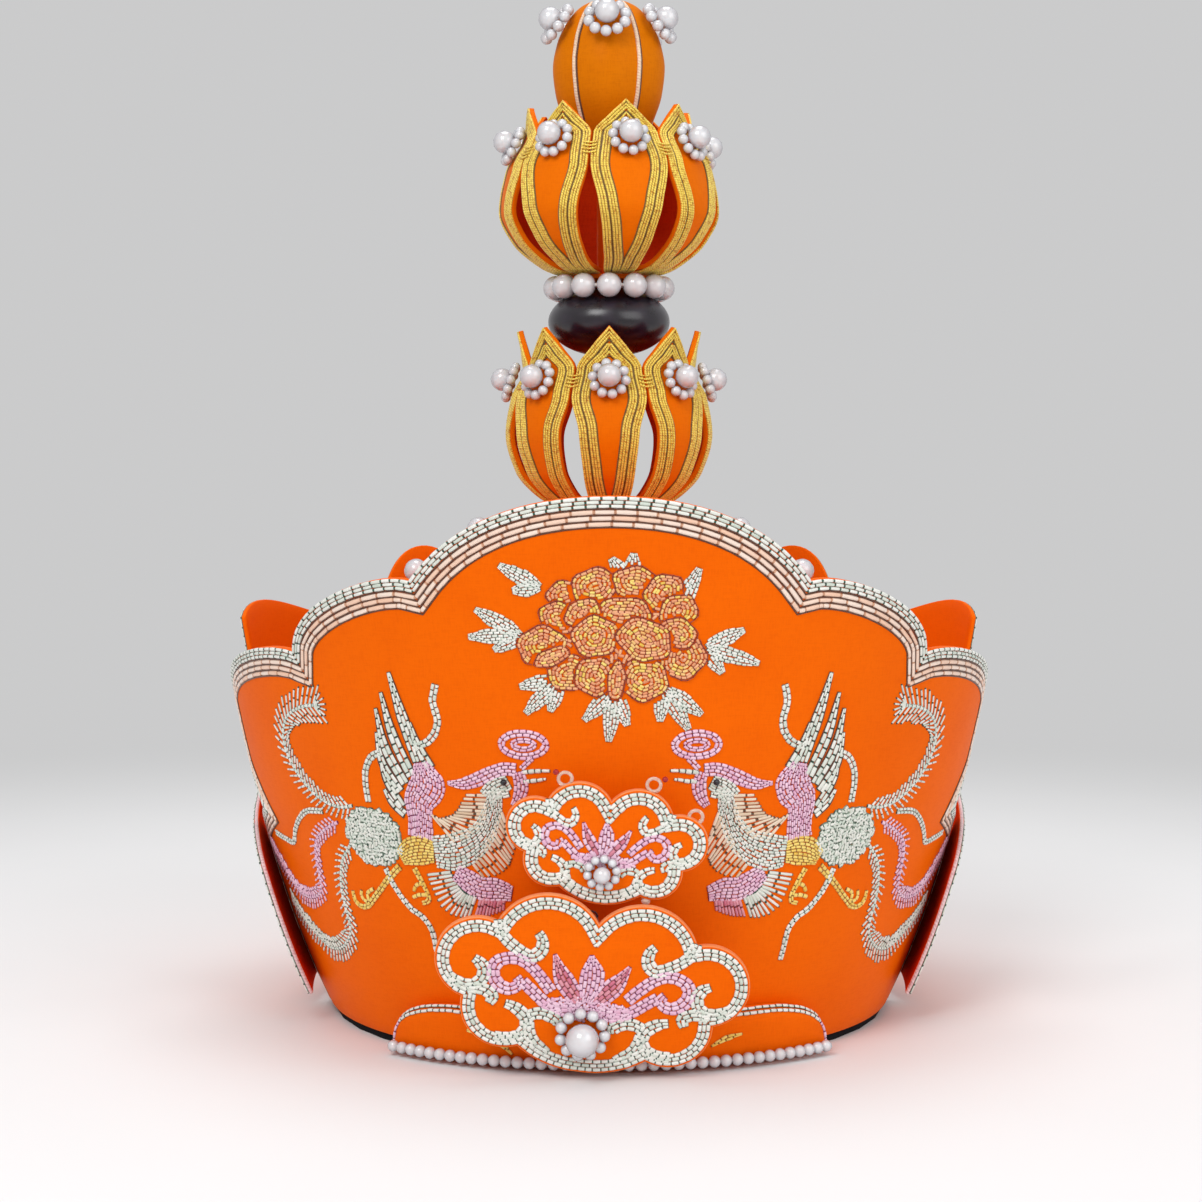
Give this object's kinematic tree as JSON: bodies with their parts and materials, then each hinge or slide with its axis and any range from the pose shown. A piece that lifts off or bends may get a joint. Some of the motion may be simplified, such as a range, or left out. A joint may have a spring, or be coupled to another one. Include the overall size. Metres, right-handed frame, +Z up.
{
  "type": "ceremonial monk crown",
  "caption": "Orange satin monk's crown with cloud-edged front and back panels, embroidered phoenixes, sprung cloud plates and a pearl-set lotus finial.",
  "frame": {"origin": "on the surface the rim rests on, under the middle of the crown's box", "axes": "+Z up through the finial, -Y towards the front panel, +X to the viewer's right when facing the front"},
  "size_m": [0.2476, 0.2542, 0.326],
  "materials": {
    "satin": "satin weave over stiff card",
    "lining": "matt black cloth",
    "pearl": "pearl lustre",
    "lacquer": "black gloss",
    "wire": "dark wire",
    "silver_thread": "silk thread, pale silver green",
    "gold_thread": "gold-wrapped thread",
    "pink_thread": "silk thread, pink"
  },
  "bodies": {
    "root": {"rim_lining": "lining", "crown_cap": "satin", "front_panel": "satin", "back_panel": "satin", "brow_band": "satin", "brow_pearl_string": "pearl", "upper_cloud_plate": "satin", "upper_cloud_plate_flower": "pearl", "upper_cloud_plate_spring": "wire", "lower_cloud_plate": "satin", "lower_cloud_plate_flower": "pearl", "lower_cloud_plate_spring": "wire", "cap_flower_1": "pearl", "cap_flower_2": "pearl", "cap_flower_3": "pearl", "cap_flower_4": "pearl", "lower_petal_1": "satin", "lower_petal_2": "satin", "lower_petal_3": "satin", "lower_petal_4": "satin", "lower_petal_5": "satin", "lower_petal_6": "satin", "lower_petal_7": "satin", "lower_petal_8": "satin", "lower_petal_flower_1": "pearl", "lower_petal_flower_2": "pearl", "lower_petal_flower_3": "pearl", "lower_petal_flower_4": "pearl", "lower_petal_flower_5": "pearl", "lower_petal_flower_6": "pearl", "lower_petal_flower_7": "pearl", "lower_petal_flower_8": "pearl", "upper_petal_1": "satin", "upper_petal_2": "satin", "upper_petal_3": "satin", "upper_petal_4": "satin", "upper_petal_5": "satin", "upper_petal_6": "satin", "upper_petal_7": "satin", "upper_petal_8": "satin", "upper_petal_flower_1": "pearl", "upper_petal_flower_2": "pearl", "upper_petal_flower_3": "pearl", "upper_petal_flower_4": "pearl", "upper_petal_flower_5": "pearl", "upper_petal_flower_6": "pearl", "upper_petal_flower_7": "pearl", "upper_petal_flower_8": "pearl", "finial_ball": "lacquer", "neck_pearls": "pearl", "finial_post": "satin", "finial_bud": "satin", "bud_flower_1": "pearl", "bud_flower_2": "pearl", "bud_flower_3": "pearl", "bud_flower_4": "pearl", "bud_flower_5": "pearl"}
  },
  "joints": []
}
